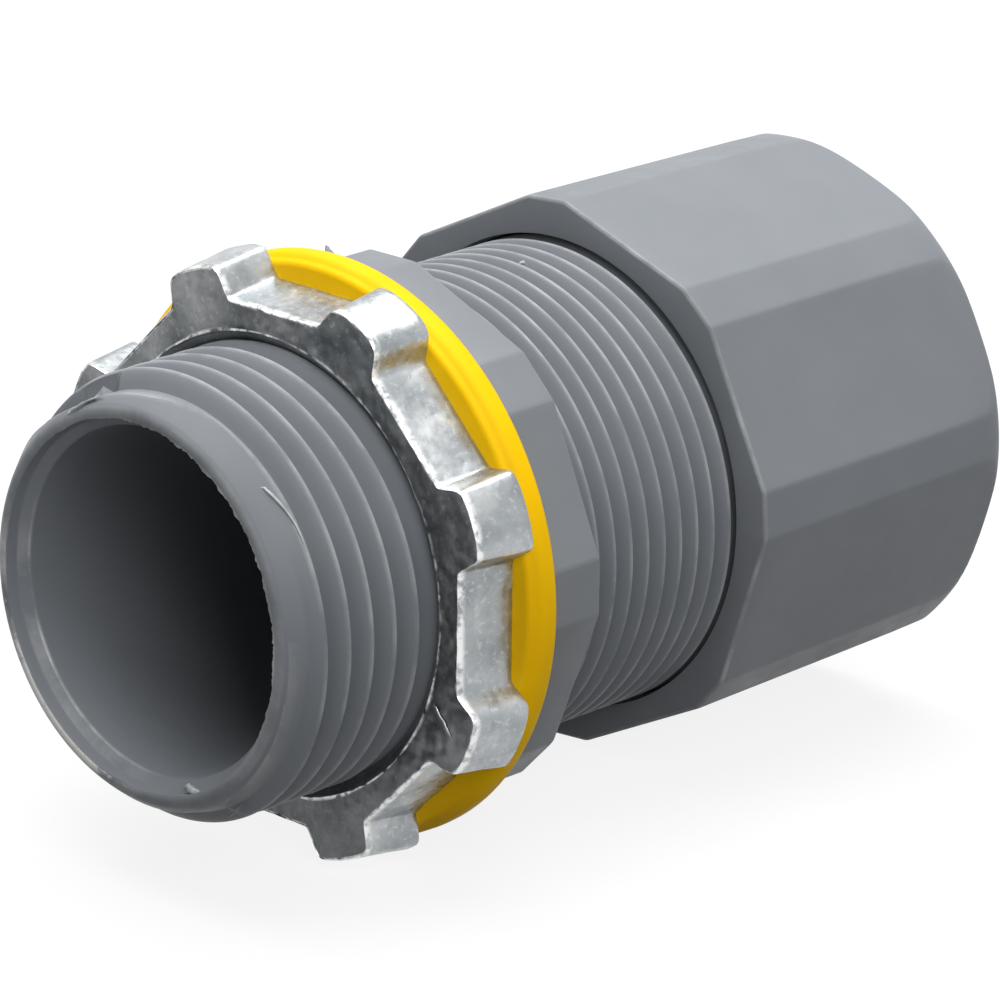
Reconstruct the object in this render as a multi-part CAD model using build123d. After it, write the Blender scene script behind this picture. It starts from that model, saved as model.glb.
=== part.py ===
"""Non-metallic cable connector for a three-quarter inch knockout.

Millimetres. +X runs along the axis from the hub to the gland nut, +Z is up, and the
origin is on the axis in the face of the collar that looks at the enclosure wall.
Thread flanks are left out: a threaded part is modelled at its crests, and the bore
that runs on it at those crests plus the running clearance.
"""

from build123d import *
from math import radians, tan
import os

# Clearances that tie the pieces together
running_clearance = 0.08      # a bore over the thread or shaft that it turns on
seat_clearance = 0.1          # a loose piece in the pocket that holds it

# Hub, which goes through the knockout; its thread size drives the radii of every piece
hub_thread_radius = 13.33
hub_length = 16.3
hub_wall = 2.93
mouth_chamfer_width = 0.75
mouth_chamfer_depth = 1.6
mouth_land_width = 0.8
hub_lead_in_length = 2.0
hub_bore_radius = hub_thread_radius - hub_wall
mouth_radius = hub_bore_radius + mouth_chamfer_width

# Barrel, which carries the gland nut and holds the grommet
barrel_length = 20.25
barrel_step = 1.07            # how far the barrel's thread stands outside the hub's
barrel_wall = 2.5
barrel_lead_in = 0.9
pocket_depth = 9.0
cone_seat_length = 3.0
barrel_thread_radius = hub_thread_radius + barrel_step
pocket_radius = barrel_thread_radius - barrel_wall

# Collar, eight flats with cut corners
collar_thickness = 4.75
collar_step = 1.55            # from the barrel's thread out to the collar's flats
collar_corner_rise = 0.6      # from the radius of the flats to that of the cut corners
collar_turn = -1.0
collar_edge_chamfer = 0.3
collar_across_flats = 2 * (barrel_thread_radius + collar_step)
collar_across_corners = collar_across_flats + 2 * collar_corner_rise

# Sealing washer
washer_width = 4.26
washer_thickness = 2.0
washer_edge_chamfer = 0.4
washer_bore_radius = hub_thread_radius + running_clearance
washer_radius = washer_bore_radius + washer_width

# Locknut, an octagon with a lug on each corner, drafted towards its front
locknut_thickness = 4.0
locknut_wall = 2.59
lug_count = 8
lug_rise = 2.35               # from the octagon's flats out to the middle of a lug's rounded tip
lug_tip_width = 5.0
lug_root_width = 5.9
lug_tip_curve = 9.0           # radius of the tip's arc
lug_corner_chamfer = 0.4
casting_draft = 7.0
locknut_entry_chamfer = 0.55
locknut_turn = 22.5
locknut_bore_radius = hub_thread_radius + running_clearance
locknut_across_flats = 2 * (locknut_bore_radius + locknut_wall)
lug_radius = locknut_across_flats / 2 + lug_rise

# Gland nut
nut_standoff = 13.65          # from the collar to the nut, at rest
nut_length = 22.4
nut_wall = 1.72
nut_corner_rise = 0.725       # from the radius of the flats to that of the cut corners
nut_turn = -4.1
nut_draft = 1.0
nut_edge_chamfer = 0.3
nut_end_chamfer_length = 1.9
nut_end_chamfer_depth = 0.9
nut_exit_wall = 3.8
nut_exit_lip = 4.0            # from the outer edge of the ring's seat in to the cable exit
nut_exit_chamfer = 1.4
nut_entry_chamfer = 0.4
nut_bore_radius = barrel_thread_radius + running_clearance
nut_across_flats = 2 * (nut_bore_radius + nut_wall)
nut_across_corners = nut_across_flats + 2 * nut_corner_rise

# Slip ring and its seat in the gland nut
ring_seat_step = 1.48         # from the nut's bore in to the seat
ring_seat_depth = 1.2
slip_ring_width = 5.3
slip_ring_thickness = 1.0
ring_seat_radius = nut_bore_radius - ring_seat_step
slip_ring_radius = ring_seat_radius - seat_clearance
slip_ring_bore_radius = slip_ring_radius - slip_ring_width
nut_exit_radius = ring_seat_radius - nut_exit_lip

# Grommet
grommet_wall = 5.3
grommet_protrusion = 3.5
grommet_nose_gap = 0.3
grommet_end_chamfer = 0.9
grommet_radius = pocket_radius - seat_clearance
grommet_bore_radius = grommet_radius - grommet_wall

# Stations along the axis
mouth_x = -hub_length
barrel_x = collar_thickness
barrel_end_x = barrel_x + barrel_length
pocket_floor_x = barrel_end_x - pocket_depth
cone_seat_x = pocket_floor_x - cone_seat_length
nut_x = barrel_x + nut_standoff
nut_end_x = nut_x + nut_length
exit_wall_x = nut_end_x - nut_exit_wall
ring_seat_x = exit_wall_x - ring_seat_depth
grommet_end_x = barrel_end_x + grommet_protrusion
washer_x = -washer_thickness
locknut_x = washer_x - locknut_thickness


def across(x):
    """Plane square to the axis at x, its first direction up."""
    return Plane(origin=(x, 0, 0), x_dir=(0, 0, 1), z_dir=(1, 0, 0))


def turned(*points):
    """Solid of revolution about the axis from corners given as (x, radius)."""
    face = make_face(Polyline(*points, close=True))
    return revolve(face, Axis.X, 360)


def cut_corner_octagon(across_flats, across_corners, turn):
    """Octagon with a corner at the turn angle, its corners cut by a second octagon."""
    flats = RegularPolygon(across_flats / 2, 8, major_radius=False, rotation=turn)
    corners = RegularPolygon(across_corners / 2, 8, major_radius=False, rotation=turn + 22.5)
    return flats & corners


def end_edges(solid, direction):
    """Outer edges of the end face that lies furthest along direction (-1 or 1) of X."""
    face = solid.faces().sort_by(Axis.X)[0 if direction < 0 else -1]
    return face.outer_wire().edges()


def make_body():
    """Hub, collar and barrel around one stepped bore."""
    land_radius = mouth_radius + mouth_land_width
    hub = turned(
        (mouth_x, 0),
        (mouth_x, land_radius),
        (mouth_x + hub_lead_in_length, hub_thread_radius),
        (0, hub_thread_radius),
        (0, 0),
    )
    collar = extrude(
        across(0) * cut_corner_octagon(collar_across_flats, collar_across_corners, collar_turn),
        collar_thickness,
    )
    collar = chamfer(end_edges(collar, 1), collar_edge_chamfer)
    barrel = turned(
        (0, 0),
        (0, barrel_thread_radius),
        (barrel_end_x - barrel_lead_in, barrel_thread_radius),
        (barrel_end_x, barrel_thread_radius - barrel_lead_in),
        (barrel_end_x, 0),
    )
    bore = turned(
        (mouth_x, 0),
        (mouth_x, mouth_radius),
        (mouth_x + mouth_chamfer_depth, hub_bore_radius),
        (cone_seat_x, hub_bore_radius),
        (pocket_floor_x, pocket_radius),
        (barrel_end_x, pocket_radius),
        (barrel_end_x, 0),
    )
    return hub + collar + barrel - bore


def make_sealing_washer():
    """Flat washer with chamfered outer edges, against the collar."""
    ring = Circle(washer_radius) - Circle(washer_bore_radius)
    washer = extrude(across(washer_x) * ring, washer_thickness)
    return chamfer(end_edges(washer, -1) + end_edges(washer, 1), washer_edge_chamfer)


def make_locknut():
    """Cast locknut: drafted octagon with lugs, and a bore chamfered at both ends."""
    corner_x = lug_radius - lug_tip_curve + (lug_tip_curve**2 - (lug_tip_width / 2) ** 2) ** 0.5
    sides = Polyline(
        (corner_x, lug_tip_width / 2),
        (locknut_bore_radius, lug_root_width / 2),
        (locknut_bore_radius, -lug_root_width / 2),
        (corner_x, -lug_tip_width / 2),
    )
    tip = ThreePointArc((corner_x, -lug_tip_width / 2), (lug_radius, 0), (corner_x, lug_tip_width / 2))
    lug = make_face(sides + tip)
    lugs = PolarLocations(0, lug_count, start_angle=locknut_turn) * lug
    blank = RegularPolygon(locknut_across_flats / 2, lug_count, major_radius=False, rotation=locknut_turn)
    outline = blank + lugs
    reach = (locknut_across_flats / 2 + lug_radius) / 2
    tips = outline.vertices().filter_by(lambda v: (v.X**2 + v.Y**2) ** 0.5 > reach)
    outline = chamfer(tips, lug_corner_chamfer)
    rear = Plane(origin=(washer_x, 0, 0), x_dir=(0, 0, 1), z_dir=(-1, 0, 0))
    casting = extrude(rear * outline, locknut_thickness, taper=casting_draft)
    bore = turned(
        (locknut_x, 0),
        (locknut_x, locknut_bore_radius + locknut_entry_chamfer),
        (locknut_x + locknut_entry_chamfer, locknut_bore_radius),
        (washer_x - locknut_entry_chamfer, locknut_bore_radius),
        (washer_x, locknut_bore_radius + locknut_entry_chamfer),
        (washer_x, 0),
    )
    return casting - bore


def make_gland_nut():
    """Drafted octagonal nut with a chamfered outer end, threaded bore, ring seat and exit."""
    section = cut_corner_octagon(nut_across_flats, nut_across_corners, nut_turn)
    block = extrude(across(nut_x) * section, nut_length, taper=nut_draft)
    block = chamfer(end_edges(block, -1), nut_edge_chamfer)
    end_corner_radius = nut_across_corners / 2 - nut_length * tan(radians(nut_draft))
    envelope = turned(
        (nut_x, 0),
        (nut_x, nut_across_corners),
        (nut_end_x - nut_end_chamfer_length, nut_across_corners),
        (nut_end_x - nut_end_chamfer_length, end_corner_radius),
        (nut_end_x, end_corner_radius - nut_end_chamfer_depth),
        (nut_end_x, 0),
    )
    hollow = turned(
        (nut_x, 0),
        (nut_x, nut_bore_radius + nut_entry_chamfer),
        (nut_x + nut_entry_chamfer, nut_bore_radius),
        (ring_seat_x, nut_bore_radius),
        (ring_seat_x, ring_seat_radius),
        (exit_wall_x, ring_seat_radius),
        (exit_wall_x, nut_exit_radius),
        (nut_end_x - nut_exit_chamfer, nut_exit_radius),
        (nut_end_x, nut_exit_radius + nut_exit_chamfer),
        (nut_end_x, 0),
    )
    return (block & envelope) - hollow


def make_grommet():
    """Bushing whose cone nose follows the body's cone seat."""
    slope = (pocket_radius - hub_bore_radius) / cone_seat_length
    nose_x = cone_seat_x + grommet_nose_gap
    nose_radius = hub_bore_radius + slope * grommet_nose_gap - seat_clearance
    return turned(
        (nose_x, grommet_bore_radius),
        (nose_x, nose_radius),
        (pocket_floor_x, grommet_radius),
        (grommet_end_x - grommet_end_chamfer, grommet_radius),
        (grommet_end_x, grommet_radius - grommet_end_chamfer),
        (grommet_end_x, grommet_bore_radius),
    )


def make_slip_ring():
    """Flat friction ring in its seat against the gland nut's end wall."""
    outline = Circle(slip_ring_radius) - Circle(slip_ring_bore_radius)
    return extrude(across(exit_wall_x - slip_ring_thickness) * outline, slip_ring_thickness)


parts = {
    "body": make_body(),
    "sealing_washer": make_sealing_washer(),
    "locknut": make_locknut(),
    "gland_nut": make_gland_nut(),
    "grommet": make_grommet(),
    "slip_ring": make_slip_ring(),
}

os.makedirs("parts", exist_ok=True)
for name, solid in parts.items():
    export_step(solid, f"parts/{name}.step")
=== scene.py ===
"""Looks of the non-metallic cable connector.

Every piece is built from rings of points round the connector's axis, which is X.
Sizes are millimetres until a mesh is written. Angles run from straight up (+Z)
towards the side that the photograph shows (-Y), a right-hand turn about +X.
"""

from math import atan2, cos, pi, radians, sin, sqrt, tan

import bmesh
import bpy
import numpy as np
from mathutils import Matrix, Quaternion, Vector


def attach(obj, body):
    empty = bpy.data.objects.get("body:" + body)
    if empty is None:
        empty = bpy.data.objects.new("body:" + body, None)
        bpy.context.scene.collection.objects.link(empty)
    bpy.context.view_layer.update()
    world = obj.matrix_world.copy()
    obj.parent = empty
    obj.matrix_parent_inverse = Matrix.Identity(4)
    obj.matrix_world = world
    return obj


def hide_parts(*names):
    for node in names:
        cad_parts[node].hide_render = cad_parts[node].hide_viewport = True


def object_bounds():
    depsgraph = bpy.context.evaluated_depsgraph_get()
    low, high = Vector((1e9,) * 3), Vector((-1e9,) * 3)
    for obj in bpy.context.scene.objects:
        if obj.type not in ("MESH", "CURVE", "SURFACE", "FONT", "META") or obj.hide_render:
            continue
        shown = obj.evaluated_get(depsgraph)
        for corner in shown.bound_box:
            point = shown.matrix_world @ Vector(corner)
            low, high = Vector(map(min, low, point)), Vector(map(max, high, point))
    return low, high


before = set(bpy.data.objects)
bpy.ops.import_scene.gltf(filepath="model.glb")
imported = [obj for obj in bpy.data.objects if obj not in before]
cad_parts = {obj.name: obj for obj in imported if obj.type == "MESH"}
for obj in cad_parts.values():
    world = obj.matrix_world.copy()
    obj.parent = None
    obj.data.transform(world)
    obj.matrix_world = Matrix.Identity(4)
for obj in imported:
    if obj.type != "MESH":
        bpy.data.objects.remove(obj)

cad_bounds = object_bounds()

MM = 0.001
FULL_TURN = 2 * pi
EIGHTH = FULL_TURN / 8
SIXTEENTH = FULL_TURN / 16
BORE_CLEARANCE = 0.08         # a bore over the thread that it turns on
SEAT_CLEARANCE = 0.1          # a loose piece in the pocket that holds it

# Meshes, in metres
JOIN_DISTANCE = 1.5e-6
LEAST_EDGE = 1e-6

# Form of every thread, by places in one pitch, where 0 is the crest
THREAD_SHARES = (-0.45, -0.36, -0.28, -0.2, -0.13, -0.07, -0.02, 0.03, 0.4, 0.5)
CREST_FLAT = 0.03
ROOT_START = 0.4
ROOT_END = -0.45
FLANK_ROUND = 1.6             # how strongly the side towards the hub's mouth rounds over
# Paleness along the thread crests: partly rubbed, partly a painted highlight
CREST_WEAR_AND_HIGHLIGHT = 0.5

# Hub
HUB_LENGTH = 16.3
HUB_CREST = 13.33
HUB_PITCH = 1.814
HUB_THREAD_DEPTH = 1.12
HUB_CREST_STATION = -14.67    # where a crest line crosses straight up, which sets the thread's start
HUB_THREAD_END = -0.1
HUB_RUNOUT = (0.3, 1.2)       # distances from the collar between which the thread runs out
FIRST_TURN_CUT = (radians(55.0), radians(110.0))      # angles between which the first groove is cut in
FIRST_TURN_DEEPENED = (2.6, 4.4)                      # angles between which it reaches its full depth
HUB_BORE = 10.4
BORE_LOOP = 2.0               # a plain ring of points inside the bore
MOUTH = -HUB_LENGTH
MOUTH_EDGE = 11.15
MOUTH_LAND = 11.42

# Bore behind the mouth, from inside out: depth behind the mouth, and how far outside HUB_BORE it lies
MOUTH_STEP = (
    (1.4, 0.01), (1.3, 0.03), (1.22, 0.09), (1.16, 0.16), (0.8, 0.56), (0.74, 0.62), (0.68, 0.64),
)
# The mouth's inner lip: depth behind the mouth, and how far outside MOUTH_EDGE it lies
MOUTH_LIP = ((0.12, -0.05), (0.03, -0.01), (0.0, 0.04))
# Depths behind the mouth at which the lead-in has a ring of points before the thread's first one
LEAD_IN_DEPTHS = (0.08, 0.2, 0.3)
HIGHLIGHT_AND_WEAR_MIDDLE = radians(238.0)  # middle of the side on which the mouth's inner step carries a painted highlight streak and its rim is rubbed pale
WHITE_MIDDLE = radians(216.0)  # middle of the whitish arc on the mouth's rim

HUB_CONE_STATIONS = (-16.3, -16.22, -16.1, -15.9, -14.35, -14.05, -13.85)
HUB_CONE_RADII = (11.57, 11.74, 11.9, 12.07, 13.22, 13.31, 13.33)
START_ANGLES = (-20.0, 0.0, 20.0, 50.0)       # degrees where the first groove's front edge is given
START_STATIONS = (-15.95, -15.5, -14.75, -14.42)
START_FLANK = 0.6             # length of that groove's front flank
MOULD_STEP_ANGLE = -20.0      # degrees
MOULD_STEP_REAR = -13.35
RECESS_ANGLES = (-68.0, -57.0, -45.0, -36.0, -28.0, -20.0)
RECESS_RADII = (13.4, 12.85, 12.3, 12.12, 12.05, 12.1)

# Ragged fin of flash inside the mouth's edge
FLASH_MIDDLE = radians(48.0)
FLASH_REACH = 0.24
FLASH_LEAST = 0.25            # share of the reach that is left far from its middle
FLASH_HALF = 0.03             # half its thickness
FLASH_CELL = 0.9              # size of its largest teeth

# Collar and barrel
COLLAR_LENGTH = 4.75
COLLAR_FLAT = 15.95
COLLAR_CORNER = 16.55
COLLAR_TURN = radians(-1.0)
# The collar's edges: depth from its face, and how far inside its sides
COLLAR_FRONT_EDGE = ((0.0, 0.3), (0.08, 0.08), (0.3, 0.0))
COLLAR_REAR_EDGE = ((0.35, 0.0), (0.1, 0.1), (0.0, 0.35))
BARREL_END = 25.0
BARREL_CREST = 14.4
BARREL_PITCH = 1.411
BARREL_THREAD_DEPTH = 0.8
BARREL_CREST_STATION = 6.5
BARREL_LEAD_IN = 0.9
BARREL_CHAMFER = BARREL_END - BARREL_LEAD_IN
BARREL_RUNOUT = (0.1, 1.5)    # distances from the collar between which the thread runs out
BARREL_RUN_IN = (0.02, 0.9)   # distances from the end chamfer between which it starts
POCKET_RADIUS = 11.9
POCKET_FLOOR = 16.0
POCKET_EDGE = ((0.0, 0.25), (0.1, 0.05), (0.25, 0.0))     # depth, and how far outside the pocket
CONE_SEAT = 13.0

# Sealing washer
WASHER_RADIUS = 17.66
WASHER_FACE = -2.0
# Its rim, from the collar towards the locknut: station, and how far inside the rim's radius
WASHER_RIM = (
    (0.0, 0.3), (-0.08, 0.1), (-0.25, 0.02), (-0.5, 0.0), (-1.1, 0.02), (-1.35, 0.1),
    (-1.5, 0.26), (-1.62, 0.36), (-1.8, 0.42), (-1.93, 0.52), (WASHER_FACE, 0.75),
)

# Locknut
LOCKNUT_FACE = -6.0
LOCKNUT_FLAT = 16.0
LOCKNUT_ENTRY = 0.5           # how much wider the bore is at both ends
LOCKNUT_ROUND = 0.3           # radius of its front edge
LUG_COUNT = 8
LUG_RADIUS = 18.35
LUG_TIP_WIDTH = 5.0
LUG_ROOT_WIDTH = 5.9
LUG_TIP_DRAFT = 0.55          # how fast a tip's half width shrinks, against the outline's radius
LUG_ROOT_DRAFT = 0.35
LOCKNUT_DRAFT = radians(7.0)
LOCKNUT_TURN = radians(22.5)
LUG_WANDER = (1.0, 0.9, 1.2, 1.5, 0.6, 1.2, 0.8, 1.6)     # degrees by which each lug's middle is off
LUG_CROWN = (0.6, 0.3, 0.3, 0.13, 0.3, 0.3, 0.3, 0.3)     # how far each lug's corners lie below its middle
ROUGH_NOTCH = radians(91.0)   # middle of the notch with the ragged rear edge
ROUGH_NOTCH_WIDTH = radians(9.0)

# Gland nut
NUT_FACE = 18.4
NUT_LENGTH = 22.4
NUT_FLAT = 16.2
NUT_CORNER = 16.925
NUT_TURN = radians(-4.1)
NUT_DRAFT = radians(1.0)
NUT_EDGE = ((0.0, 0.26), (0.05, 0.11), (0.13, 0.03), (0.28, 0.0))    # depth, and how far inside the outline
NUT_ENTRY = 0.16              # how much wider the bore is at its start
NUT_RUN_IN = (2.2, 3.2)       # distances from the face between which the thread starts
NUT_RUNOUT = (33.0, 32.0)     # stations between which it ends
NUT_EXIT = 9.0
NUT_EXIT_ROUND = 1.4
NUT_WALL = 3.8
NUT_END_LOOP = 13.0           # radius of a plain ring of points on the end
NUT_END_ROUND_LENGTH = 1.9
NUT_END_ROUND_DEPTH = 0.9
NUT_END_CORNER_GAIN = 0.04    # makes up for what rounding takes off the end's corners
RING_SEAT_DEPTH = 1.2
RING_SEAT_RADIUS = 13.0
NUT_END = NUT_FACE + NUT_LENGTH
EXIT_WALL = NUT_END - NUT_WALL

# Sharpness of the corners of an octagon, and of the edge where the gland nut's end is rounded
CORNER_SHARPNESS = 700
DOME_SHARPNESS = 260

# Grommet and slip ring
GROMMET_BORE = 6.5
GROMMET_END = 28.5
GROMMET_ROUND = 0.9
NOSE_GAP = 0.3
SLIP_RING_BORE = 7.6
SLIP_RING_THICKNESS = 1.0
SLIP_RING_GAP = 0.02          # between the ring and the gland nut's end wall
SLIP_RING_EDGE = 0.1

# Small ridges of flash, each a path of (station, radius, degrees, half width)
BODY_BEADS = {
    "thread_start": (
        (-15.1, 12.62, 43.5, 0.0), (-14.95, 12.8, 44.5, 0.09), (-14.8, 12.93, 47.5, 0.1),
        (-14.6, 13.06, 51.5, 0.09), (-14.45, 13.18, 56.0, 0.07), (-14.38, 13.24, 63.0, 0.0),
    ),
    "mouth_burr": (
        (-15.95, 10.55, 160.5, 0.0), (-16.0, 10.7, 159.8, 0.26), (-16.0, 11.0, 157.5, 0.29),
        (-16.0, 11.3, 154.5, 0.22), (-16.0, 11.6, 153.0, 0.13), (-15.9, 12.1, 152.0, 0.0),
    ),
    "mouth_star": (
        (-15.5, 12.3, 149.5, 0.0), (-15.3, 12.65, 148.5, 0.16), (-15.1, 12.95, 147.5, 0.16),
        (-15.0, 13.35, 147.0, 0.0),
    ),
    "mouth_star_left": (
        (-15.6, 13.1, 151.0, 0.0), (-15.15, 12.85, 148.0, 0.13), (-14.9, 12.6, 145.0, 0.0),
    ),
    "mouth_star_right": (
        (-14.6, 13.2, 147.5, 0.0), (-15.1, 12.85, 148.0, 0.12), (-15.5, 12.7, 149.5, 0.0),
    ),
    "mouth_chip": (
        (-16.1, 11.6, -33.0, 0.0), (-16.05, 11.8, -29.0, 0.2), (-16.05, 11.95, -25.0, 0.22),
        (-16.0, 12.1, -22.0, 0.12), (-15.9, 12.2, -19.0, 0.1), (-15.8, 12.3, -15.0, 0.0),
    ),
    "barrel_nib": (
        (13.6, 14.2, 4.0, 0.0), (13.75, 14.4, 4.8, 0.16), (13.95, 14.45, 5.2, 0.14),
        (14.1, 14.25, 5.8, 0.0),
    ),
    "collar_nib": (
        (4.0, 15.6, -17.0, 0.0), (4.1, 15.9, -17.4, 0.2), (4.2, 16.4, -18.3, 0.22),
        (4.35, 16.7, -19.4, 0.17), (4.5, 16.95, -20.0, 0.0),
    ),
}
CASTING_RIDGE = (
    (-5.9, 14.4, 110.0, 0.0), (-6.0, 14.6, 110.5, 0.15), (-6.0, 15.9, 113.0, 0.17),
    (-5.9, 16.4, 114.0, 0.0),
)
# Wear of each ridge, where it isn't 1
BEAD_WEAR = {
    "mouth_burr": 1.35, "mouth_star": 0.0, "mouth_star_left": 0.0, "mouth_star_right": 0.0,
    "collar_nib": 0.0, "casting_ridge": 0.0,
}
# Height of a ridge against its half width
BEAD_HEIGHT = {"casting_ridge": 0.45}
PLAIN_BEAD_HEIGHT = 0.7
# Ridges that stand on a face towards the hub's mouth; the others stand on a round surface
FRONT_BEADS = ("mouth_burr", "casting_ridge")

# Colours
GREY = ((0.208, 0.223, 0.243), (0.230, 0.245, 0.265))
# Paler grey where rubbed, and where a painted highlight lies along crests and inside the mouth
GREY_WORN_AND_HIGHLIGHT = (0.58, 0.59, 0.60)
FLASH_WHITE = (0.92, 0.92, 0.90)
ZINC_SIDE = ((0.26, 0.28, 0.295), (0.38, 0.405, 0.42), (0.54, 0.56, 0.57))
ZINC_SIDE_SPARKLE = (0.70, 0.71, 0.71)
# Front-face colours, darker than the sides as a painted dark reflection
ZINC_FACE_PAINTED_DARK_REFLECTION = ((0.11, 0.12, 0.125), (0.19, 0.2, 0.205), (0.31, 0.32, 0.32))
ZINC_FACE_SPARKLE = (0.42, 0.43, 0.43)
# Painted dark reflection, darker towards the bottom of the front face
ZINC_FACE_LOW_PAINTED_DARK_REFLECTION = (0.07, 0.076, 0.08)
# Bright edges: partly burnished, partly a painted highlight
ZINC_BURNISHED_AND_HIGHLIGHT = (0.92, 0.92, 0.91)
YELLOW = ((0.98, 0.545, 0.0), (1.0, 0.6, 0.001))
BLACK = ((0.016, 0.016, 0.017), (0.04, 0.04, 0.042))
NYLON = ((0.70, 0.68, 0.62), (0.78, 0.77, 0.72))
FLOOR = ((0.12, 0.12, 0.12), (0.14, 0.14, 0.14))

# Photograph's camera
CAMERA_PLACE = (-0.28599, -0.28704, 0.14330)
CAMERA_AIM = (0.013197, -0.000283, -0.000565)
CAMERA_LENS = 264.0
CAMERA_SENSOR = 36.0
CAMERA_CLIP_START = 0.01
CAMERA_ROLL = radians(0.65)

# Light: each lamp's name, place, size in metres and power in watts
LAMPS = (
    ("overhead", (0.1, 0.1, 0.9), 1.0, 15.3),
    ("side", (-0.42, -0.88, 0.64), 0.6, 5.6),
)
LAMP_AIM = (0.01, 0.0, 0.0)
WORLD_LIGHT = 0.11
FLOOR_SIZE = 6.0
FLOOR_GAP = 0.00002
FLOOR_GLOW = 0.86


def hashed(cells):
    """Repeatable values in 0..1 for an array of whole-number cells (..., 3)."""
    mixed = cells[..., 0] * 127.1 + cells[..., 1] * 311.7 + cells[..., 2] * 74.7
    value = np.sin(mixed) * 43758.5453
    return value - np.floor(value)


def smooth_noise(points, cell):
    """Value noise in -1..1 at points (..., 3) in millimetres, with one swing per cell."""
    scaled = points / cell
    low = np.floor(scaled)
    part = scaled - low
    part = part * part * (3 - 2 * part)
    total = 0.0
    for corner in np.ndindex(2, 2, 2):
        step = np.array(corner)
        weight = np.prod(np.where(step == 1, part, 1 - part), axis=-1)
        total = total + weight * hashed(low + step)
    return total * 2 - 1


def ramp(value, low, high):
    """Smooth step from 0 at low to 1 at high."""
    share = np.clip((value - low) / (high - low), 0, 1)
    return share * share * (3 - 2 * share)


def around(x, radius, angle):
    """Points (..., 3) in millimetres at stations x, radii and angles."""
    x, radius, angle = np.broadcast_arrays(x, radius, angle)
    return np.stack([x, -radius * np.sin(angle), radius * np.cos(angle)], axis=-1)


def even_angles(count, extra=()):
    """Count angles round the turn, with extra ones added where an edge needs them."""
    least_gap = radians(0.08)
    base = np.arange(count) * FULL_TURN / count
    both = np.sort(np.concatenate([base, np.mod(np.array(extra, dtype=float), FULL_TURN)]))
    keep = np.append(np.diff(both) > least_gap, True)
    return both[keep]


def rings(rows, angles):
    """Patch from rows of (x, radius), where a radius is a number or one value per angle."""
    return np.stack([around(x, radius, angles) for x, radius in rows])


def arc_rows(centre_x, centre_r, size, start, stop):
    """Rows along an arc, start and stop in degrees from the +X direction towards larger radius."""
    turns = np.radians(np.linspace(start, stop, 6))
    return [(centre_x + size * np.cos(t), centre_r + size * np.sin(t)) for t in turns]


def thread_fall(share):
    """Depth, from 0 to 1, below the crest at a place in the pitch.

    The side towards the hub's mouth rounds over into the crest; the far side is straight.
    """
    if share > 0:
        return float(np.clip((share - CREST_FLAT) / (ROOT_START - CREST_FLAT), 0, 1))
    return float(np.clip(share / ROOT_END, 0, 1) ** FLANK_ROUND)


def thread_patch(start_x, end_x, crest_station, pitch, radius, angles, crest_wear_and_highlight):
    """Patch of a right-hand thread between two stations, with paleness along its crests, partly rubbed and
    partly a painted highlight.

    radius is a function of the station, the angle and the place in the pitch. Both ends
    of the patch are plain rings.
    """
    first = int(np.floor((start_x - crest_station) / pitch)) - 2
    last = int(np.ceil((end_x - crest_station) / pitch)) + 1
    rows, wear_and_highlight = [], []
    for turn in range(first, last + 1):
        for share in THREAD_SHARES:
            x = crest_station + pitch * (turn + share + angles / FULL_TURN)
            held = np.clip(x, start_x, end_x)
            # Paleness centred just on the mouth side of each crest: partly rubbed, partly a painted
            # highlight
            near_crest = ramp(-abs(share + 0.02), -0.09, -0.02)
            rows.append(around(held, radius(held, angles, share), angles))
            wear_and_highlight.append(np.where(held == x, crest_wear_and_highlight * near_crest, 0.0))
    return np.stack(rows), len(THREAD_SHARES), np.stack(wear_and_highlight)


def skin_mesh(name, patches, sharp_angle=32.0):
    """Closed mesh object from patches (rows, columns, 3), which join where their points meet.

    A patch may come as (grid, shift, wear): at the seam its rows join those shift rows on,
    and wear, 0 where there is none, is kept as a value of each point.
    """
    points, faces, worn_and_highlight, base = [], [], [], 0
    for patch in patches:
        grid, shift, wear_and_highlight = patch if isinstance(patch, tuple) else (patch, 0, None)
        row_count, column_count = grid.shape[:2]
        index = base + np.arange(row_count * column_count).reshape(row_count, column_count)
        right = np.roll(index, -1, axis=1)
        if shift:
            right[:-shift, -1] = index[shift:, 0]
            right[-shift:, -1] = index[-1, 0]
        quads = np.stack([index[:-1], right[:-1], right[1:], index[1:]], axis=-1).reshape(-1, 4)
        points.append(grid.reshape(-1, 3) * MM)
        faces.append(quads)
        worn_and_highlight.append(np.zeros(row_count * column_count) if wear_and_highlight is None else wear_and_highlight.reshape(-1))
        base += row_count * column_count
    mesh = bpy.data.meshes.new(name)
    mesh.from_pydata(np.concatenate(points).tolist(), [], np.concatenate(faces).tolist())
    attribute = mesh.attributes.new("wear_and_highlight", "FLOAT", "POINT")
    attribute.data.foreach_set("value", np.concatenate(worn_and_highlight).astype(np.float32))
    bm = bmesh.new()
    bm.from_mesh(mesh)
    bmesh.ops.remove_doubles(bm, verts=bm.verts, dist=JOIN_DISTANCE)
    bmesh.ops.dissolve_degenerate(bm, edges=bm.edges, dist=LEAST_EDGE)
    bmesh.ops.recalc_face_normals(bm, faces=bm.faces)
    bm.to_mesh(mesh)
    bm.free()
    mesh.shade_smooth()
    mesh.set_sharp_from_angle(angle=radians(sharp_angle))
    piece = bpy.data.objects.new(name, mesh)
    bpy.context.scene.collection.objects.link(piece)
    return piece


def dress(piece, body, nodes, material):
    """The piece rides on a body, stands for CAD nodes and takes a finish."""
    piece.data.materials.append(material)
    if nodes:
        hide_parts(*nodes)
    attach(piece, body)


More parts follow.
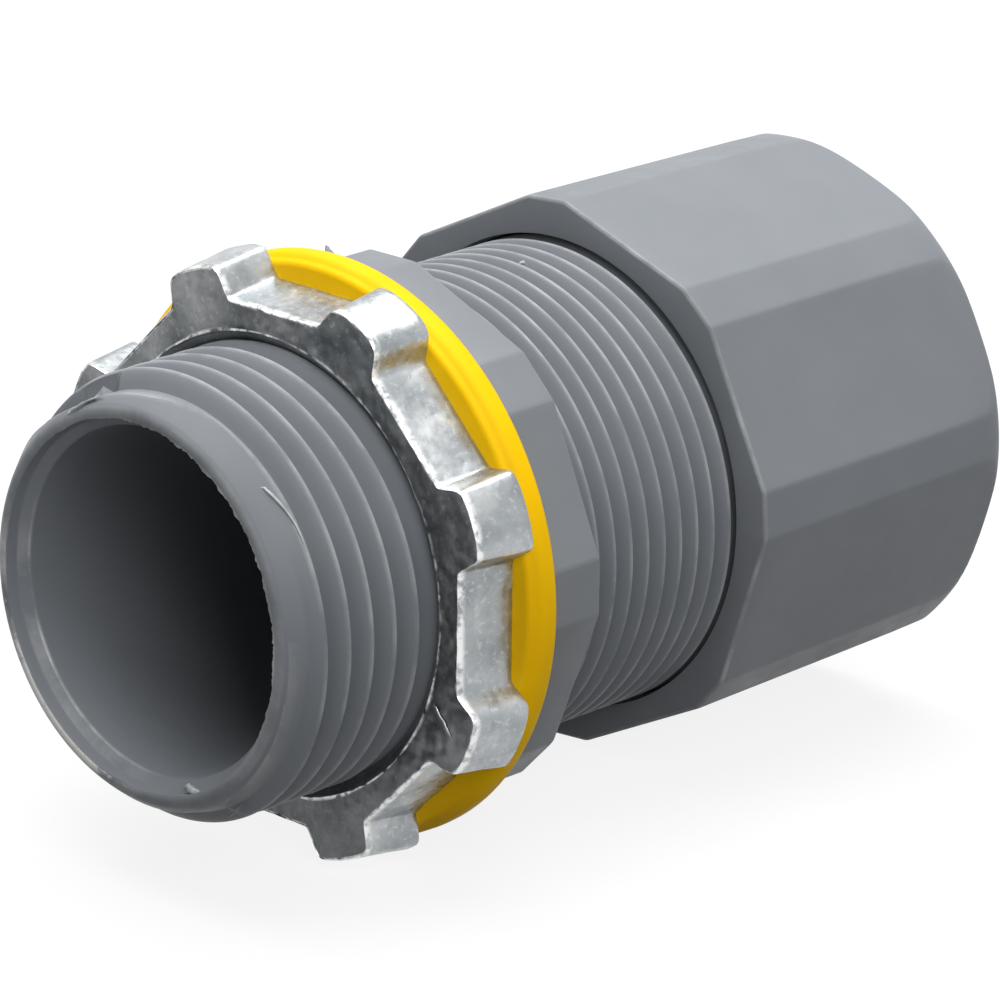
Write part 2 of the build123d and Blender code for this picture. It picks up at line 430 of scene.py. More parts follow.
def cut_corner_octagon(angles, flat, corner, turn):
    """Radius at each angle of an octagon whose corners are cut by a second octagon."""
    reach = np.stack([
        np.cos(angles - turn - offset - side * EIGHTH) / distance
        for side in range(8)
        for distance, offset in ((corner, 0.0), (flat, SIXTEENTH))
    ])
    furthest = reach.max(axis=0)
    total = (np.maximum(reach / furthest, 0) ** CORNER_SHARPNESS).sum(axis=0)
    return 1 / (furthest * total ** (1 / CORNER_SHARPNESS))


def corner_angles(flat, corner, turn, spread, count):
    """Count angles within spread degrees of each of the sixteen corners of a cut-corner octagon."""
    half = atan2(flat - corner * cos(SIXTEENTH), corner * sin(SIXTEENTH))
    offsets = np.radians(np.linspace(-spread, spread, count))
    return [
        turn + side * EIGHTH + sign * half + offset
        for side in range(8)
        for sign in (-1, 1)
        for offset in offsets
    ]


def hub_cone(x):
    """Radius of the lead-in behind the mouth, and of the crests behind that."""
    return np.interp(x, HUB_CONE_STATIONS, HUB_CONE_RADII)


def hub_radius(x, angle, share):
    """Hub surface: a thread cut into the lead-in cone, and the mould's step beside its start."""
    crest = hub_cone(x)
    runout = ramp(-x, *HUB_RUNOUT)
    threaded = np.minimum(crest, HUB_CREST - HUB_THREAD_DEPTH * runout * thread_fall(share))
    turns_on = (x - HUB_CREST_STATION) / HUB_PITCH - angle / FULL_TURN
    first_turn = ramp(angle, *FIRST_TURN_CUT) * (0.6 + 0.4 * ramp(angle, *FIRST_TURN_DEEPENED))
    cut_in = np.where(turns_on < -0.01, first_turn, 1.0)
    cut_in = np.where(turns_on < -1.0, 0.0, cut_in)
    surface = crest - (crest - threaded) * cut_in

    degrees = np.degrees((angle + pi) % FULL_TURN - pi)
    near_start = (degrees > MOULD_STEP_ANGLE) & (degrees < START_ANGLES[-1])
    groove_edge = np.interp(degrees, START_ANGLES, START_STATIONS)
    floor_radius = HUB_CREST - HUB_THREAD_DEPTH
    groove = crest - np.maximum(crest - floor_radius, 0) * ramp(x - groove_edge, 0.0, START_FLANK)
    crest_line = HUB_CREST_STATION + HUB_PITCH * degrees / 360.0
    before_crest = x < crest_line + 0.5 * HUB_PITCH
    surface = np.where(near_start & before_crest, np.minimum(surface, groove), surface)

    past_step = MOULD_STEP_ANGLE - degrees
    beside = ramp(past_step, 0.0, 1.0) * (degrees > RECESS_ANGLES[0])
    beside = beside * ramp(MOULD_STEP_REAR - x, -0.1, 0.1)
    recess = np.minimum(surface, np.interp(degrees, RECESS_ANGLES, RECESS_RADII))
    return surface + (recess - surface) * beside


def barrel_radius(x, angle, share):
    """Barrel surface: the thread runs out into the collar and into the end chamfer."""
    at_collar = ramp(x, COLLAR_LENGTH + BARREL_RUNOUT[0], COLLAR_LENGTH + BARREL_RUNOUT[1])
    at_end = ramp(-x, -BARREL_CHAMFER + BARREL_RUN_IN[0], -BARREL_CHAMFER + BARREL_RUN_IN[1])
    return BARREL_CREST - BARREL_THREAD_DEPTH * at_collar * at_end * thread_fall(share)


def make_body():
    """Hub, collar, barrel and stepped bore as one moulding."""
    step_angles = np.radians(MOULD_STEP_ANGLE + np.array([-1.1, -0.7, -0.35, 0.0]))
    corners = corner_angles(COLLAR_FLAT, COLLAR_CORNER, COLLAR_TURN, 0.6, 3)
    angles = even_angles(280, list(step_angles) + corners)
    collar = cut_corner_octagon(angles, COLLAR_FLAT, COLLAR_CORNER, COLLAR_TURN)

    inside = [(BARREL_END, BARREL_CREST - BARREL_LEAD_IN)]
    inside += [(BARREL_END - depth, POCKET_RADIUS + out) for depth, out in POCKET_EDGE]
    inside += [(POCKET_FLOOR, POCKET_RADIUS), (CONE_SEAT, HUB_BORE), (BORE_LOOP, HUB_BORE)]
    inside += [(MOUTH + depth, HUB_BORE + out) for depth, out in MOUTH_STEP]
    inside += [(MOUTH + depth, MOUTH_EDGE + out) for depth, out in MOUTH_LIP]
    inside += [(MOUTH, MOUTH_LAND), (MOUTH + 0.02, MOUTH_LAND + 0.15)]
    inside += [(MOUTH + depth, hub_cone(MOUTH + depth)) for depth in LEAD_IN_DEPTHS]

    # Rows 8 to 11 are the step behind the mouth, and the sixth to third from last are its rim
    # Painted highlight streak along the step on one side; there the rim is rubbed pale too, with a whitish
    # arc of flash
    highlight_and_wear_side = ramp(np.cos(angles - HIGHLIGHT_AND_WEAR_MIDDLE), 0.45, 0.9)
    white_arc = ramp(np.cos(angles - WHITE_MIDDLE), 0.8, 0.97)
    wear_and_highlight = np.zeros((len(inside), len(angles)))
    wear_and_highlight[8:12] = 0.4 * highlight_and_wear_side
    wear_and_highlight[9] = 1.3 * highlight_and_wear_side
    wear_and_highlight[-6:-2] = np.maximum(1.1 * highlight_and_wear_side, 0.3) + white_arc

    hub = thread_patch(
        MOUTH + LEAD_IN_DEPTHS[-1], HUB_THREAD_END, HUB_CREST_STATION, HUB_PITCH, hub_radius, angles,
        CREST_WEAR_AND_HIGHLIGHT,
    )
    middle = [(HUB_THREAD_END, HUB_CREST), (0.0, HUB_CREST + 0.05)]
    middle += [(depth, collar - inset) for depth, inset in COLLAR_FRONT_EDGE]
    middle += [(COLLAR_LENGTH - depth, collar - inset) for depth, inset in COLLAR_REAR_EDGE]
    middle += [(COLLAR_LENGTH, BARREL_CREST + 0.1), (COLLAR_LENGTH + 0.1, BARREL_CREST)]
    barrel = thread_patch(
        COLLAR_LENGTH + 0.1, BARREL_CHAMFER, BARREL_CREST_STATION, BARREL_PITCH, barrel_radius, angles,
        CREST_WEAR_AND_HIGHLIGHT,
    )
    end = [(BARREL_CHAMFER, BARREL_CREST), (BARREL_END, BARREL_CREST - BARREL_LEAD_IN)]
    patches = [(rings(inside, angles), 0, wear_and_highlight), hub, rings(middle, angles), barrel, rings(end, angles)]
    return skin_mesh("moulded_body", patches)


def make_gland_nut():
    """Cut-corner octagon with draft, a softly rounded outer end and an internal thread."""
    angles = even_angles(180, corner_angles(NUT_FLAT, NUT_CORNER, NUT_TURN, 1.4, 7))
    thread_radius = BARREL_CREST + BORE_CLEARANCE
    end_corner = NUT_CORNER - NUT_LENGTH * tan(NUT_DRAFT)

    def outline(x):
        """Outer radius at a station: drafted sides, cut by a dome near the end."""
        shrink = (x - NUT_FACE) * tan(NUT_DRAFT)
        sides = cut_corner_octagon(angles, NUT_FLAT - shrink, NUT_CORNER - shrink, NUT_TURN)
        share = (x - NUT_END + NUT_END_ROUND_LENGTH) / NUT_END_ROUND_LENGTH
        if share <= 0:
            return sides
        fall = NUT_END_ROUND_DEPTH * (1 - sqrt(max(1 - share ** 2, 0)))
        dome = end_corner + NUT_END_CORNER_GAIN - fall
        return sides * (1 + (sides / dome) ** DOME_SHARPNESS) ** (-1 / DOME_SHARPNESS)

    first = outline(NUT_FACE)
    rows = [(NUT_FACE, thread_radius + NUT_ENTRY)]
    rows += [(NUT_FACE + depth, first - inset) for depth, inset in NUT_EDGE]
    rows += [(x, outline(x)) for x in np.linspace(NUT_FACE + 2, NUT_END - NUT_END_ROUND_LENGTH, 8)]
    for step in np.radians(np.linspace(6, 90, 13)):
        x = NUT_END - NUT_END_ROUND_LENGTH + NUT_END_ROUND_LENGTH * sin(step)
        rows.append((x, outline(x)))
    rows += [(NUT_END, NUT_END_LOOP), (NUT_END, NUT_EXIT + NUT_EXIT_ROUND)]
    rows += arc_rows(NUT_END - NUT_EXIT_ROUND, NUT_EXIT + NUT_EXIT_ROUND, NUT_EXIT_ROUND, 0, -90)[1:]
    rows += [
        (EXIT_WALL, NUT_EXIT),
        (EXIT_WALL, RING_SEAT_RADIUS),
        (EXIT_WALL - RING_SEAT_DEPTH, RING_SEAT_RADIUS),
        (EXIT_WALL - RING_SEAT_DEPTH, thread_radius),
    ]
    outside = rings(rows, angles)
    wear_and_highlight = np.zeros(outside.shape[:2])
    wear_and_highlight[2:4] = 0.5

    def bore_radius(x, angle, share):
        """Bore with its thread, widened at the face."""
        at_face = ramp(x, NUT_FACE + NUT_RUN_IN[0], NUT_FACE + NUT_RUN_IN[1])
        at_seat = ramp(-x, -NUT_RUNOUT[0], -NUT_RUNOUT[1])
        entry = NUT_ENTRY * (1 - ramp(x, NUT_FACE + 0.5, NUT_FACE + 0.9))
        return thread_radius + entry - BARREL_THREAD_DEPTH * at_face * at_seat * thread_fall(share)

    thread = thread_patch(
        NUT_FACE, EXIT_WALL - RING_SEAT_DEPTH, BARREL_CREST_STATION, BARREL_PITCH, bore_radius, angles, 0.0
    )
    return skin_mesh("gland_nut_moulding", [(outside, 0, wear_and_highlight), thread])


def locknut_angles():
    """Even angles, with more at the flanks of the lugs."""
    flanks = np.radians(np.concatenate([np.arange(-12.0, -5.0, 0.35), np.arange(5.0, 12.0, 0.35)]))
    middles = LOCKNUT_TURN + np.arange(LUG_COUNT) * EIGHTH
    return even_angles(480, (middles[:, None] + flanks[None, :]).ravel())


def locknut_outline(x, angles):
    """Outer radius at a station: the octagon's flats, with lugs standing out from its corners."""
    shrink = (WASHER_FACE - x) * tan(LOCKNUT_DRAFT)
    flat = LOCKNUT_FLAT - shrink
    tip = LUG_RADIUS - shrink
    base = flat / np.cos((angles - LOCKNUT_TURN) % EIGHTH - SIXTEENTH)
    result = base.copy()
    half_tip = (LUG_TIP_WIDTH / 2 - LUG_TIP_DRAFT * shrink) / LUG_RADIUS
    half_root = (LUG_ROOT_WIDTH / 2 - LUG_ROOT_DRAFT * shrink) / LUG_RADIUS
    for lug in range(LUG_COUNT):
        middle = LOCKNUT_TURN + lug * EIGHTH + radians(LUG_WANDER[lug])
        offset = (angles - middle + pi) % FULL_TURN - pi
        share = np.clip((half_root - np.abs(offset)) / (half_root - half_tip), 0, 1)
        top = tip - LUG_CROWN[lug] * np.abs(offset / half_tip) ** 4
        result = np.where(np.abs(offset) < half_root, base + (top - base) * share, result)

    # The corners are softened by a weighted mean that reaches 1.5 degrees to each side
    count, reach, width = 2880, 12, 4.0
    even = np.arange(count) * FULL_TURN / count
    spread = np.interp(even, angles, result, period=FULL_TURN)
    weights = np.exp(-0.5 * (np.arange(-reach, reach + 1) / width) ** 2)
    weights = weights / weights.sum()
    padded = np.concatenate([spread[-reach:], spread, spread[:reach]])
    return np.interp(angles, even, np.convolve(padded, weights, "valid"), period=FULL_TURN)


def make_locknut():
    """Die-cast ring nut: a drafted octagon with eight lugs, cast skin and an internal thread."""
    angles = locknut_angles()
    rear, front = WASHER_FACE, LOCKNUT_FACE
    thread_radius = HUB_CREST + BORE_CLEARANCE
    hole_edge = thread_radius + LOCKNUT_ENTRY

    back = locknut_outline(rear, angles)
    rows = [(rear, hole_edge), (rear, back - 0.1), (rear - 0.1, back)]
    sides = np.linspace(rear - 0.35, front + LOCKNUT_ROUND, 12)
    rows += [(x, locknut_outline(x, angles)) for x in sides]
    edge = locknut_outline(front + LOCKNUT_ROUND, angles)
    for step in np.radians(np.linspace(18, 90, 5)):
        rows.append((front + LOCKNUT_ROUND * (1 - sin(step)), edge - LOCKNUT_ROUND * (1 - cos(step))))
    inner = edge - LOCKNUT_ROUND
    for share in np.linspace(0.05, 1.0, 18):
        rows.append((front, inner + (hole_edge + 0.08 - inner) * share))
    rows.append((front + 0.1, hole_edge))
    cast = rings(rows, angles)

    outward = cast.copy()
    outward[..., 0] = 0
    outward /= np.linalg.norm(outward, axis=-1, keepdims=True)
    front_rows = np.array([abs(x - front) < 0.05 for x, radius in rows])
    side_rows = ~front_rows
    side_rows[[0, 1, -1]] = False

    # Uneven cast skin on the sides, which only takes away
    skin = 0.030 * smooth_noise(cast, 1.3) + 0.022 * smooth_noise(cast + 31.0, 0.5) - 0.052
    cast += outward * (skin * side_rows[:, None])[..., None]

    # Ragged rear edge in one notch, the same at every station
    rear_near = np.exp(-((cast[..., 0] - rear + 0.12) / 0.16) ** 2)
    notch = np.exp(-((angles[None, :] - ROUGH_NOTCH) / ROUGH_NOTCH_WIDTH) ** 4)
    flat_place = cast * (0.0, 1.0, 1.0)
    ragged = np.maximum(smooth_noise(flat_place, 1.1) + 0.7 * smooth_noise(flat_place + 5.0, 0.33), 0)
    cast += outward * (0.26 * rear_near * notch * ragged * side_rows[:, None])[..., None]

    # Hammered relief of the front face, which only takes away
    face_relief = 0.1 + 0.06 * smooth_noise(cast + 9.0, 0.9) + 0.06 * smooth_noise(cast + 3.0, 0.45)
    cast[..., 0] += np.maximum(face_relief, 0.0) * front_rows[:, None]

    def bore_radius(x, angle, share):
        """Bore with its thread, widened at both faces."""
        depth = HUB_THREAD_DEPTH * 0.9 * ramp(x, front + 0.35, front + 1.0)
        depth = depth * ramp(-x, -rear + 0.3, -rear + 0.9)
        entry = LOCKNUT_ENTRY * (1 - ramp(x, front + 0.1, front + 0.6))
        entry = entry + LOCKNUT_ENTRY * ramp(x, rear - 0.6, rear)
        return thread_radius + entry - depth * thread_fall(share)

    thread = thread_patch(
        front + 0.1, rear, HUB_CREST_STATION, HUB_PITCH, bore_radius, angles, 0.0
    )
    # Front edge and hole edge pale: partly burnished, partly a painted highlight
    wear_and_highlight = np.zeros(cast.shape[:2])
    edge_rows = [index for index, row in enumerate(rows) if front < row[0] < front + LOCKNUT_ROUND + 0.01]
    wear_and_highlight[edge_rows[:-1]] = 0.9
    wear_and_highlight[-2:] = 1.0
    return skin_mesh("cast_locknut", [(cast, 0, wear_and_highlight), thread], 48)


def make_bead(name, path):
    """Small ridge or blob of flash along a path of (station, radius, degrees, half width)."""
    stops = np.array(path)
    steps = np.linspace(0, len(stops) - 1, 8 * (len(stops) - 1) + 1)
    stations, radii, degrees, widths = (np.interp(steps, np.arange(len(stops)), row) for row in stops.T)
    angles = np.radians(degrees)
    centre = around(stations, radii, angles)
    along = np.gradient(centre, axis=0)
    outward = around(0.0, 1.0, angles)
    if name in FRONT_BEADS:
        outward = np.broadcast_to((-1.0, 0.0, 0.0), outward.shape)
    across = np.cross(along, outward)
    across /= np.linalg.norm(across, axis=1, keepdims=True)
    turns = np.arange(12) * FULL_TURN / 12
    height = BEAD_HEIGHT.get(name, PLAIN_BEAD_HEIGHT)
    ring = np.cos(turns)[:, None] * across[:, None] + height * np.sin(turns)[:, None] * outward[:, None]
    rough = 1 + 0.3 * smooth_noise(centre[:, None] + ring * widths[:, None, None], 0.12)
    grid = centre[:, None] + ring * (widths[:, None] * rough)[..., None]
    return skin_mesh(name, [(grid, 0, np.full(grid.shape[:2], BEAD_WEAR.get(name, 1.0)))], 60)


def make_mouth_flash():
    """Thin ragged fin that the mould left inside the mouth's edge."""
    angles = even_angles(1400)
    station = 0.04 - HUB_LENGTH
    edge = around(0.0, MOUTH_EDGE, angles)
    teeth = 0.45 * smooth_noise(edge, FLASH_CELL) + 0.4 * smooth_noise(edge + 7.0, 0.4 * FLASH_CELL)
    teeth = teeth + 0.35 * smooth_noise(edge + 3.0, 0.15 * FLASH_CELL)
    height = FLASH_LEAST + (1 - FLASH_LEAST) * ramp(np.cos(angles - FLASH_MIDDLE), 0.2, 0.8)
    root = MOUTH_EDGE + FLASH_HALF
    tip = MOUTH_EDGE - height * (FLASH_HALF + FLASH_REACH * np.clip(0.3 + teeth, 0, 1))
    rows = [(station + 0.04, root), (station + 0.03, tip), (station - 0.01, tip)]
    rows += [(station - 0.03, root), (station + 0.04, root)]
    grid = rings(rows, angles)
    wear_and_highlight = np.zeros(grid.shape[:2])
    wear_and_highlight[1:4] = height
    return skin_mesh("mouth_flash", [(grid, 0, wear_and_highlight)], 60)


def make_sealing_washer():
    """Moulded ring with a soft ridge round its edge."""
    angles = even_angles(240)
    inner = HUB_CREST + BORE_CLEARANCE
    rows = [(0.0, inner)]
    rows += [(station, WASHER_RADIUS - inset) for station, inset in WASHER_RIM]
    rows += [(WASHER_FACE, inner), (0.0, inner)]
    return skin_mesh("yellow_sealing_washer", [rings(rows, angles)], 50)


def make_grommet():
    """Rubber bush with a tapered nose and a rounded outer end."""
    angles = even_angles(160)
    slope = (POCKET_RADIUS - HUB_BORE) / (POCKET_FLOOR - CONE_SEAT)
    nose = CONE_SEAT + NOSE_GAP
    nose_radius = HUB_BORE + NOSE_GAP * slope - SEAT_CLEARANCE
    body_radius = POCKET_RADIUS - SEAT_CLEARANCE
    rows = [(nose, GROMMET_BORE + 0.35), (nose, nose_radius), (POCKET_FLOOR, body_radius)]
    rows += [(24.0, body_radius), (27.5, body_radius)]
    rows += arc_rows(GROMMET_END - GROMMET_ROUND, body_radius - GROMMET_ROUND, GROMMET_ROUND, 90, 0)
    rows += [(GROMMET_END, GROMMET_BORE + 0.3), (GROMMET_END - 0.15, GROMMET_BORE + 0.08)]
    rows += [(GROMMET_END - 0.4, GROMMET_BORE), (nose + 0.35, GROMMET_BORE), (nose, GROMMET_BORE + 0.35)]
    return skin_mesh("rubber_grommet", [rings(rows, angles)], 40)


def make_slip_ring():
    """Thin nylon ring between the grommet and the gland nut."""
    angles = even_angles(160)
    edge = SLIP_RING_EDGE
    inner = SLIP_RING_BORE
    outer = RING_SEAT_RADIUS - SEAT_CLEARANCE
    rear = EXIT_WALL - SLIP_RING_GAP
    front = EXIT_WALL - SLIP_RING_THICKNESS
    rows = [(front, inner + edge), (front, outer - edge), (front + edge, outer), (rear - edge, outer)]
    rows += [(rear, outer - edge), (rear, inner + edge), (rear - edge, inner), (front + edge, inner)]
    rows += [(front, inner + edge)]
    return skin_mesh("nylon_slip_ring", [rings(rows, angles)], 40)


class Shader:
    """A node material put together a node at a time."""

    def __init__(self, name):
        self.material = bpy.data.materials.new(name)
        self.material.use_nodes = True
        self.tree = self.material.node_tree
        self.surface = self.tree.nodes["Principled BSDF"]

    def node(self, kind, **settings):
        """New node with its settings."""
        made = self.tree.nodes.new(kind)
        for key, value in settings.items():
            setattr(made, key, value)
        return made

    def link(self, start, end):
        self.tree.links.new(start, end)

    def feed(self, output, socket):
        """Feed the surface's socket of that name."""
        self.link(output, self.surface.inputs[socket])

    def noise(self, scale, detail=3.0, roughness=0.55):
        """Noise on object coordinates, scale in swings per metre."""
        made = self.node("ShaderNodeTexNoise")
        made.inputs["Scale"].default_value = scale
        made.inputs["Detail"].default_value = detail
        made.inputs["Roughness"].default_value = roughness
        self.link(self.node("ShaderNodeTexCoord").outputs["Object"], made.inputs["Vector"])
        return made.outputs["Fac"]

    def coordinate(self, place, axis):
        """One axis of the Object or Normal coordinates."""
        made = self.node("ShaderNodeSeparateXYZ")
        self.link(self.node("ShaderNodeTexCoord").outputs[place], made.inputs["Vector"])
        return made.outputs[axis]

    def wear_and_highlight(self):
        """Paleness kept at each point of the mesh: rubbed places, whitish flash and painted highlights."""
        return self.node("ShaderNodeAttribute", attribute_name="wear_and_highlight").outputs["Fac"]

    def colours(self, value, positions, colours):
        """Colour ramp with a colour at each position."""
        made = self.node("ShaderNodeValToRGB")
        elements = made.color_ramp.elements
        while len(elements) < len(colours):
            elements.new(0.5)
        for element, position, colour in zip(elements, positions, colours):
            element.position = position
            element.color = (*colour, 1.0)
        self.link(value, made.inputs["Fac"])
        return made.outputs["Color"]

    def spread(self, value, low, high, to_low=0.0, to_high=1.0):
        """The value, moved from the range low..high to the range to_low..to_high."""
        made = self.node("ShaderNodeMapRange")
        made.inputs["From Min"].default_value = low
        made.inputs["From Max"].default_value = high
        made.inputs["To Min"].default_value = to_low
        made.inputs["To Max"].default_value = to_high
        self.link(value, made.inputs["Value"])
        return made.outputs["Result"]

    def maths(self, operation, first, second):
        """Result of an operation on an output and either an output or a number."""
        made = self.node("ShaderNodeMath", operation=operation)
        self.link(first, made.inputs[0])
        if isinstance(second, float):
            made.inputs[1].default_value = second
        else:
            self.link(second, made.inputs[1])
        return made.outputs["Value"]

    def blend(self, share, first, second):
        """Mix of two colours; either may be a colour or an output."""
        made = self.node("ShaderNodeMix", data_type="RGBA")
        self.link(share, made.inputs["Factor"])
        for socket, value in ((made.inputs[6], first), (made.inputs[7], second)):
            if isinstance(value, tuple):
                socket.default_value = (*value, 1.0)
            else:
                self.link(value, socket)
        return made.outputs[2]

    def bump(self, height, distance, strength, under=None):
        """Normal bent by a height of that distance in metres, over an earlier one if given."""
        made = self.node("ShaderNodeBump")
        made.inputs["Strength"].default_value = strength
        made.inputs["Distance"].default_value = distance
        self.link(height, made.inputs["Height"])
        if under:
            self.link(under, made.inputs["Normal"])
        return made.outputs["Normal"]

    def set(self, **values):
        """Plain values on the surface's own sockets."""
        for key, value in values.items():
            self.surface.inputs[key.replace("_", " ")].default_value = value


def grey_moulding():
    """Satin grey plastic: slight mottling, fine handling marks, paler crests and mouth edges, partly rubbed
    and partly a painted highlight.
    """
    shader = Shader("grey_plastic")
    broad = shader.noise(110.0, 3.0)
    fine = shader.noise(4200.0, 4.0, 0.6)
    colour = shader.colours(broad, (0.3, 0.7), GREY)
    broken = shader.spread(shader.noise(260.0, 5.0, 0.65), 0.36, 0.66)
    wear_and_highlight = shader.wear_and_highlight()
    # Paler where rubbed, and where a painted highlight is kept in the mesh
    paler = shader.blend(shader.maths("MULTIPLY", wear_and_highlight, broken), colour, GREY_WORN_AND_HIGHLIGHT)
    teeth = shader.spread(shader.noise(1300.0, 5.0, 0.65), 0.3, 0.7, -0.6, 0.6)
    white_flash = shader.spread(shader.maths("ADD", wear_and_highlight, teeth), 1.5, 1.9)
    shader.feed(shader.blend(white_flash, paler, FLASH_WHITE), "Base Color")
    shader.feed(shader.spread(shader.noise(600.0, 5.0, 0.65), 0.3, 0.7, 0.36, 0.5), "Roughness")
    fine_bump = shader.bump(fine, 0.000012, 0.6)
    shader.feed(shader.bump(broad, 0.0002, 0.25, fine_bump), "Normal")
    shader.set(IOR=1.5, Specular_IOR_Level=0.14)
    return shader.material


def cast_zinc():
    """Zinc casting: pale crinkled skin with sparkles, a front face darkened as a painted dark reflection,
    darker still towards its bottom, and bright edges, partly burnished and partly a painted highlight.
    """
    shader = Shader("cast_zinc")
    patches = shader.noise(300.0, 5.0, 0.6)
    crinkle = shader.noise(1900.0, 3.0, 0.55)
    side = shader.colours(patches, (0.32, 0.5, 0.68), ZINC_SIDE)
    # Painted dark reflection: the front face's palette is darker than the sides'
    face = shader.colours(patches, (0.34, 0.52, 0.68), ZINC_FACE_PAINTED_DARK_REFLECTION)
    sparkle = shader.maths("MULTIPLY", shader.spread(shader.noise(2600.0, 5.0, 0.6), 0.56, 0.64), 0.35)
    side = shader.blend(sparkle, side, ZINC_SIDE_SPARKLE)
    face = shader.blend(sparkle, face, ZINC_FACE_SPARKLE)
    # Painted dark reflection: the front face darker towards its bottom
    low = shader.spread(shader.coordinate("Object", "Z"), 0.002, -0.012, 0.0, 0.6)
    face = shader.blend(low, face, ZINC_FACE_LOW_PAINTED_DARK_REFLECTION)
    # Front-facing normals take the darkened palette: painted dark reflection
    facing_front = shader.spread(shader.coordinate("Normal", "X"), -0.75, -0.97)
    colour = shader.blend(facing_front, side, face)
    # Bright edges: partly burnished, partly a painted highlight
    worn_and_highlight = shader.maths("MULTIPLY", shader.wear_and_highlight(), shader.spread(crinkle, 0.38, 0.55))
    shader.feed(shader.blend(worn_and_highlight, colour, ZINC_BURNISHED_AND_HIGHLIGHT), "Base Color")
    rough = shader.spread(crinkle, 0.35, 0.65, 0.26, 0.4)
    rougher_front = shader.maths("MULTIPLY", facing_front, 0.12)
    shader.feed(shader.maths("ADD", rough, rougher_front), "Roughness")
    broad_bump = shader.bump(shader.noise(420.0, 2.0), 0.00015, 0.4)
    shader.feed(shader.bump(crinkle, 0.00002, 0.6, broad_bump), "Normal")
    shader.set(Metallic=0.8, IOR=1.6)
    return shader.material


def yellow_elastomer():
    """Soft yellow moulding with a faint bloom."""
    shader = Shader("yellow_elastomer")
    shader.feed(shader.colours(shader.noise(150.0, 3.0), (0.3, 0.7), YELLOW), "Base Color")
    shader.feed(shader.spread(shader.noise(700.0, 4.0), 0.3, 0.7, 0.5, 0.62), "Roughness")
    shader.feed(shader.bump(shader.noise(2600.0, 4.0), 0.000015, 0.6), "Normal")
    shader.set(Specular_IOR_Level=0.12)
    return shader.material


def black_elastomer():
    """Matt black rubber with a faint grey bloom."""
    shader = Shader("black_elastomer")
    bloom = shader.noise(240.0, 5.0, 0.6)
    shader.feed(shader.colours(bloom, (0.35, 0.75), BLACK), "Base Color")
    shader.feed(shader.spread(bloom, 0.3, 0.7, 0.5, 0.72), "Roughness")
    shader.feed(shader.bump(shader.noise(1400.0), 0.00004, 0.6), "Normal")
    return shader.material


def white_nylon():
    """Natural nylon, slightly waxy."""
    shader = Shader("white_nylon")
    cloud = shader.noise(160.0, 4.0)
    shader.feed(shader.colours(cloud, (0.3, 0.7), NYLON), "Base Color")
    shader.feed(shader.spread(cloud, 0.3, 0.7, 0.35, 0.5), "Roughness")
    shader.set(Subsurface_Weight=0.15, Subsurface_Scale=0.001)
    return shader.material


def seen_directly(tree):
    """1 where a ray comes from the camera or off a mirror or through glass, otherwise 0."""
    path = tree.nodes.new("ShaderNodeLightPath")
    total = path.outputs["Is Camera Ray"]
    for name in ("Is Glossy Ray", "Is Transmission Ray"):
        either = tree.nodes.new("ShaderNodeMath")
        either.operation = "MAXIMUM"
        tree.links.new(total, either.inputs[0])
        tree.links.new(path.outputs[name], either.inputs[1])
        total = either.outputs["Value"]
    return total


def make_floor():
    """Pale floor under the object; it shows as white and keeps the object's shadow."""
    bpy.ops.mesh.primitive_plane_add(size=FLOOR_SIZE, location=(0, 0, cad_bounds[0][2] - FLOOR_GAP))
    floor = bpy.context.object
    floor.name = "floor"
    shader = Shader("pale_floor")
    colour = shader.colours(shader.noise(60.0), (0.3, 0.7), FLOOR)
    shader.feed(colour, "Base Color")
    shader.set(Roughness=0.9, Specular_IOR_Level=0.1)
    lit = shader.node("ShaderNodeBsdfDiffuse")
    shader.link(colour, lit.inputs["Color"])
    glow = shader.node("ShaderNodeEmission")
    glow.inputs["Strength"].default_value = FLOOR_GLOW
    white = shader.node("ShaderNodeAddShader")
    shader.link(lit.outputs["BSDF"], white.inputs[0])
    shader.link(glow.outputs["Emission"], white.inputs[1])
    choice = shader.node("ShaderNodeMixShader")
    shader.link(seen_directly(shader.tree), choice.inputs["Fac"])
    shader.link(shader.surface.outputs["BSDF"], choice.inputs[1])
    shader.link(white.outputs["Shader"], choice.inputs[2])
    shader.link(choice.outputs["Shader"], shader.tree.nodes["Material Output"].inputs["Surface"])
    floor.data.materials.append(shader.material)


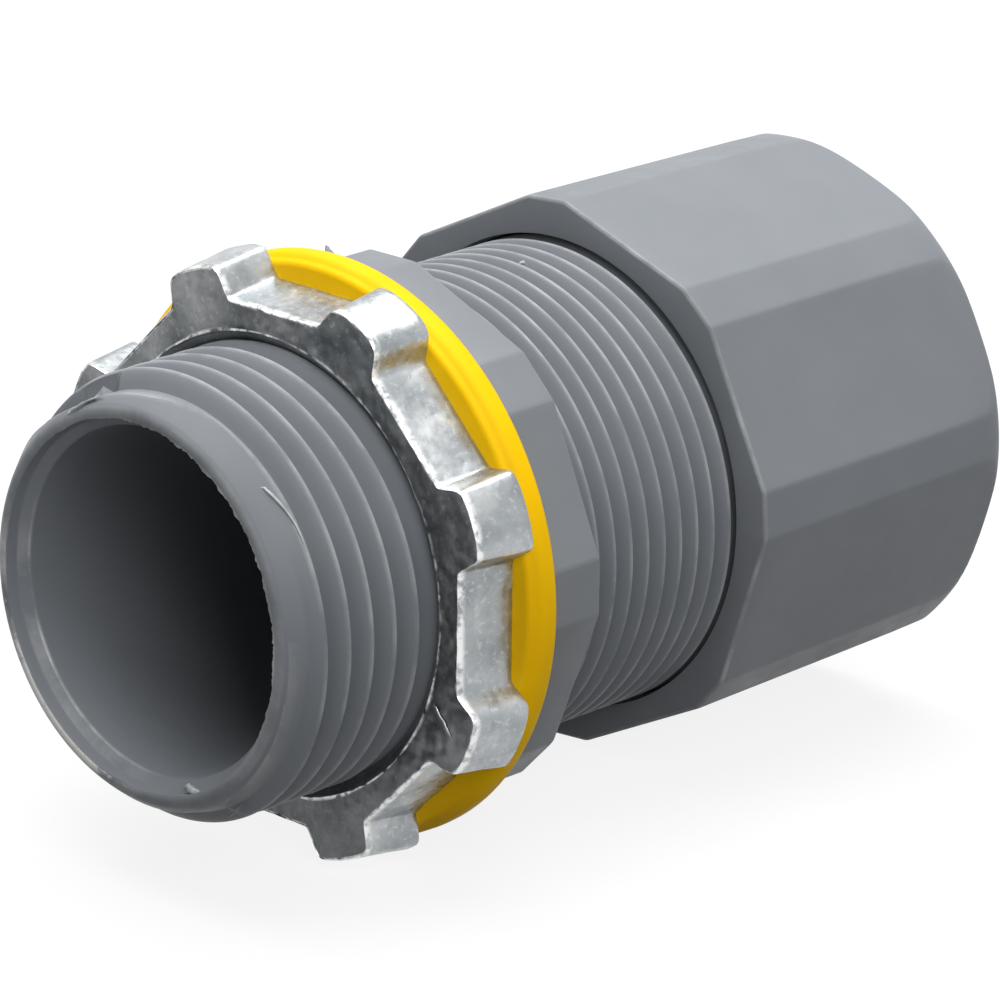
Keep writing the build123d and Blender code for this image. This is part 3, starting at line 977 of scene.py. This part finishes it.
def make_world():
    """Dim plain grey light from all round, which shows as white."""
    world = bpy.data.worlds.new("studio")
    bpy.context.scene.world = world
    world.use_nodes = True
    background = world.node_tree.nodes["Background"]
    background.inputs["Color"].default_value = (1.0, 1.0, 1.0, 1.0)
    strength = world.node_tree.nodes.new("ShaderNodeMapRange")
    strength.inputs["To Min"].default_value = WORLD_LIGHT
    world.node_tree.links.new(seen_directly(world.node_tree), strength.inputs["Value"])
    world.node_tree.links.new(strength.outputs["Result"], background.inputs["Strength"])


def make_lamp(name, place, size, power):
    """Soft square lamp aimed at the object."""
    light = bpy.data.lights.new(name, "AREA")
    light.shape = "SQUARE"
    light.size = size
    light.energy = power
    holder = bpy.data.objects.new(name, light)
    holder.location = place
    holder.rotation_euler = (Vector(LAMP_AIM) - Vector(place)).to_track_quat("-Z", "Y").to_euler()
    bpy.context.scene.collection.objects.link(holder)


def make_camera():
    """Camera at the photograph's viewing angle."""
    camera = bpy.data.objects.new("camera", bpy.data.cameras.new("camera"))
    camera.data.lens = CAMERA_LENS
    camera.data.sensor_width = CAMERA_SENSOR
    camera.data.clip_start = CAMERA_CLIP_START
    camera.location = CAMERA_PLACE
    facing = (Vector(CAMERA_AIM) - Vector(CAMERA_PLACE)).to_track_quat("-Z", "Y")
    camera.rotation_euler = (facing @ Quaternion((0.0, 0.0, 1.0), CAMERA_ROLL)).to_euler()
    bpy.context.scene.collection.objects.link(camera)
    bpy.context.scene.camera = camera


grey = grey_moulding()
zinc = cast_zinc()
yellow = yellow_elastomer()
rubber = black_elastomer()
nylon = white_nylon()

dress(make_body(), "body", ["body"], grey)
dress(make_gland_nut(), "gland_nut", ["gland_nut"], grey)
dress(make_locknut(), "locknut", ["locknut"], zinc)
dress(make_sealing_washer(), "sealing_washer", ["sealing_washer"], yellow)
dress(make_grommet(), "body", ["grommet"], rubber)
dress(make_slip_ring(), "slip_ring", ["slip_ring"], nylon)

for name, path in BODY_BEADS.items():
    dress(make_bead(name, path), "body", [], grey)
dress(make_mouth_flash(), "body", [], grey)
dress(make_bead("casting_ridge", CASTING_RIDGE), "locknut", [], zinc)

make_floor()
make_world()
for name, place, size, power in LAMPS:
    make_lamp(name, place, size, power)
make_camera()
bpy.context.scene.view_settings.view_transform = "Standard"
